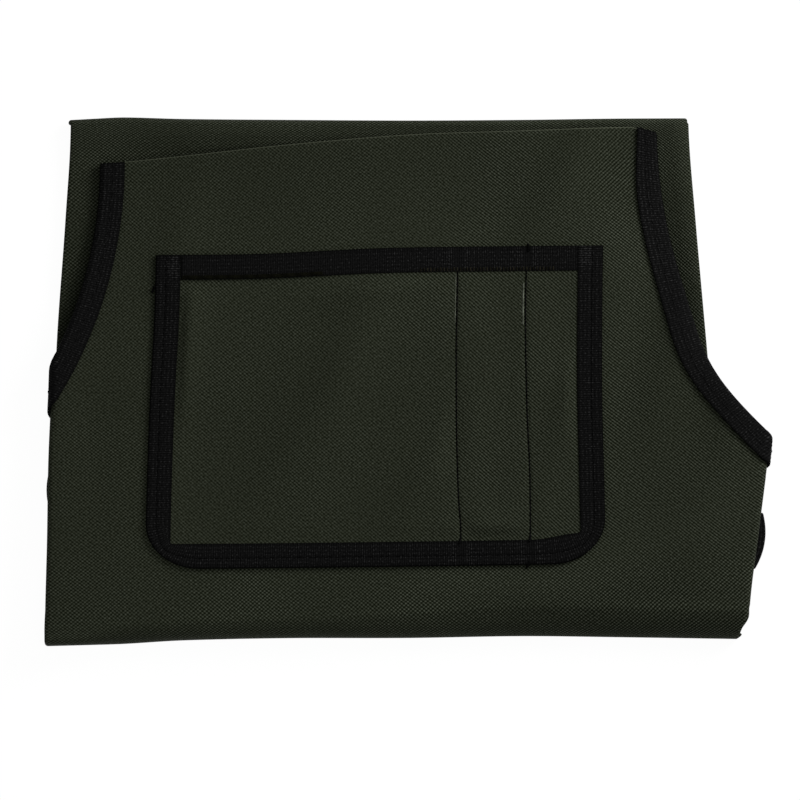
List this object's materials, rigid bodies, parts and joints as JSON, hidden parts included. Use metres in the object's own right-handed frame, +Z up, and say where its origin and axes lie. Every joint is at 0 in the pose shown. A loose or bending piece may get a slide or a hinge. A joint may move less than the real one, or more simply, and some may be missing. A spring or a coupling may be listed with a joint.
{
  "type": "folded tool apron",
  "caption": "Folded bib apron of dark olive Oxford cloth that lies flat, with black bound armholes, a bound chest pocket with sewn pen slots, and waist straps tucked under.",
  "frame": {"origin": "middle of the folded outline, on the surface that it lies on", "axes": "+X across the bib towards the pen slots, +Y towards the bib's top edge, +Z up from the surface"},
  "size_m": [0.3203, 0.2328, 0.0188],
  "materials": {
    "oxford_cloth": "dark olive plain weave, matt",
    "woven_tape": "black ribbed tape, matt",
    "webbing": "black woven webbing, slight sheen"
  },
  "bodies": {
    "root": {"apron_body": "oxford_cloth", "armhole_binding_left": "woven_tape", "armhole_binding_right": "woven_tape", "chest_pocket": "oxford_cloth", "pocket_top_binding": "woven_tape", "pocket_edge_binding": "woven_tape", "waist_strap_left": "webbing", "waist_strap_right": "webbing"}
  },
  "joints": []
}
